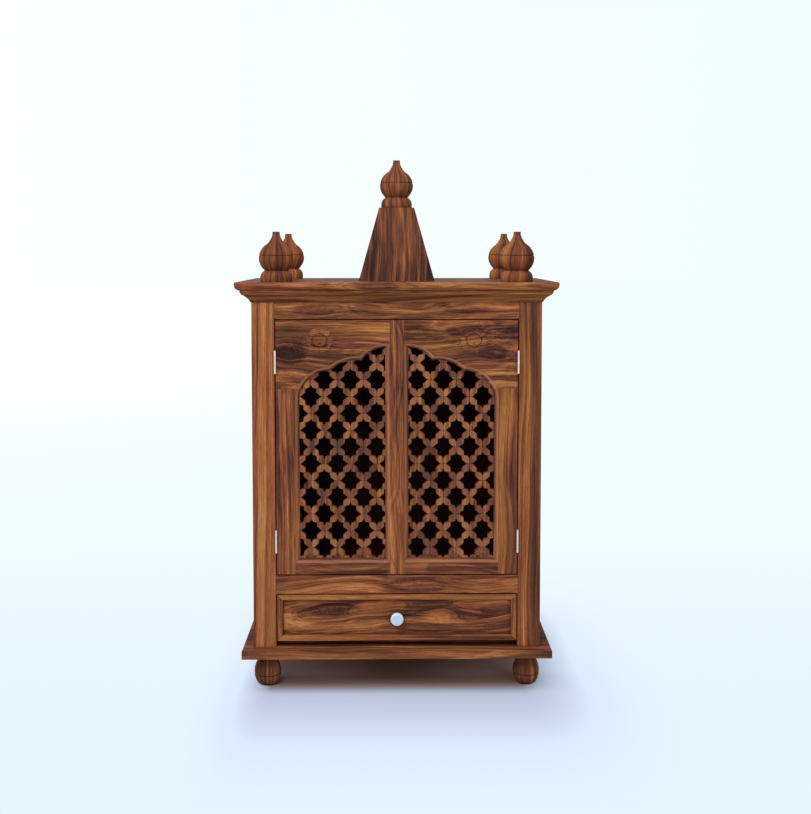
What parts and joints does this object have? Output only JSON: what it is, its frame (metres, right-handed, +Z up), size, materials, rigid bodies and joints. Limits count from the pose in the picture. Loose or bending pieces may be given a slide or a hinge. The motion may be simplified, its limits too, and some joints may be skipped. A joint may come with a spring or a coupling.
{
  "type": "pooja mandir",
  "caption": "Household wooden temple cabinet with ball feet, a hollow spire, onion finials, two arched doors with pierced star lattices, and a drawer.",
  "frame": {"origin": "on the floor under the centre of the cabinet's outline", "axes": "+Z up, -Y to the front, +X to the right seen from the front"},
  "size_m": [0.61, 0.3586, 1.027],
  "materials": {
    "rosewood_upright": "satin lacquer",
    "rosewood_level": "satin lacquer",
    "rosewood_panel": "satin lacquer",
    "rosewood_lattice": "satin lacquer",
    "hinge_steel": "brushed",
    "glazed_ceramic": "glazed ceramic"
  },
  "bodies": {
    "cabinet": {"back_panel": "rosewood_panel", "back_rails": "rosewood_level", "bottom_rail": "rosewood_level", "corner_finials": "rosewood_upright", "cornice_front": "rosewood_level", "cornice_left": "rosewood_level", "cornice_right": "rosewood_level", "drawer_runners": "rosewood_level", "feet": "rosewood_upright", "floor_cleats": "rosewood_level", "frieze_rail": "rosewood_level", "mid_rail": "rosewood_level", "plinth_board": "rosewood_level", "post_back_left": "rosewood_upright", "post_back_right": "rosewood_upright", "post_front_left": "rosewood_upright", "post_front_right": "rosewood_upright", "post_hinge_leaves": "hinge_steel", "shrine_floor": "rosewood_panel", "side_panels": "rosewood_panel", "side_rails": "rosewood_level", "spire_cap": "rosewood_upright", "spire_finial": "rosewood_upright", "spire_front_back": "rosewood_upright", "spire_sides": "rosewood_upright", "top_board": "rosewood_level"},
    "left_door": {"left_door_bottom_rail": "rosewood_level", "left_door_hinge_leaves": "hinge_steel", "left_door_inner_stile": "rosewood_upright", "left_door_lattice": "rosewood_lattice", "left_door_outer_stile": "rosewood_upright", "left_door_top_rail": "rosewood_level"},
    "right_door": {"right_door_bottom_rail": "rosewood_level", "right_door_hinge_leaves": "hinge_steel", "right_door_inner_stile": "rosewood_upright", "right_door_lattice": "rosewood_lattice", "right_door_outer_stile": "rosewood_upright", "right_door_top_rail": "rosewood_level"},
    "drawer": {"drawer_back": "rosewood_level", "drawer_bottom": "rosewood_panel", "drawer_knob": "glazed_ceramic", "drawer_long_strips": "rosewood_level", "drawer_panel": "rosewood_level", "drawer_short_strips": "rosewood_level", "drawer_sides": "rosewood_level"}
  },
  "joints": [
    {"name": "left_door_hinge", "type": "hinge", "parent": "cabinet", "child": "left_door", "pos_m": [-0.232, -0.15275, 0.4], "axis": [0, 0, -1], "range_deg": [0, 165]},
    {"name": "right_door_hinge", "type": "hinge", "parent": "cabinet", "child": "right_door", "pos_m": [0.232, -0.15275, 0.4], "axis": [0, 0, 1], "range_deg": [0, 165]},
    {"name": "drawer_slide", "type": "slide", "parent": "cabinet", "child": "drawer", "axis": [0, -1, 0], "range_m": [0, 0.22]}
  ]
}
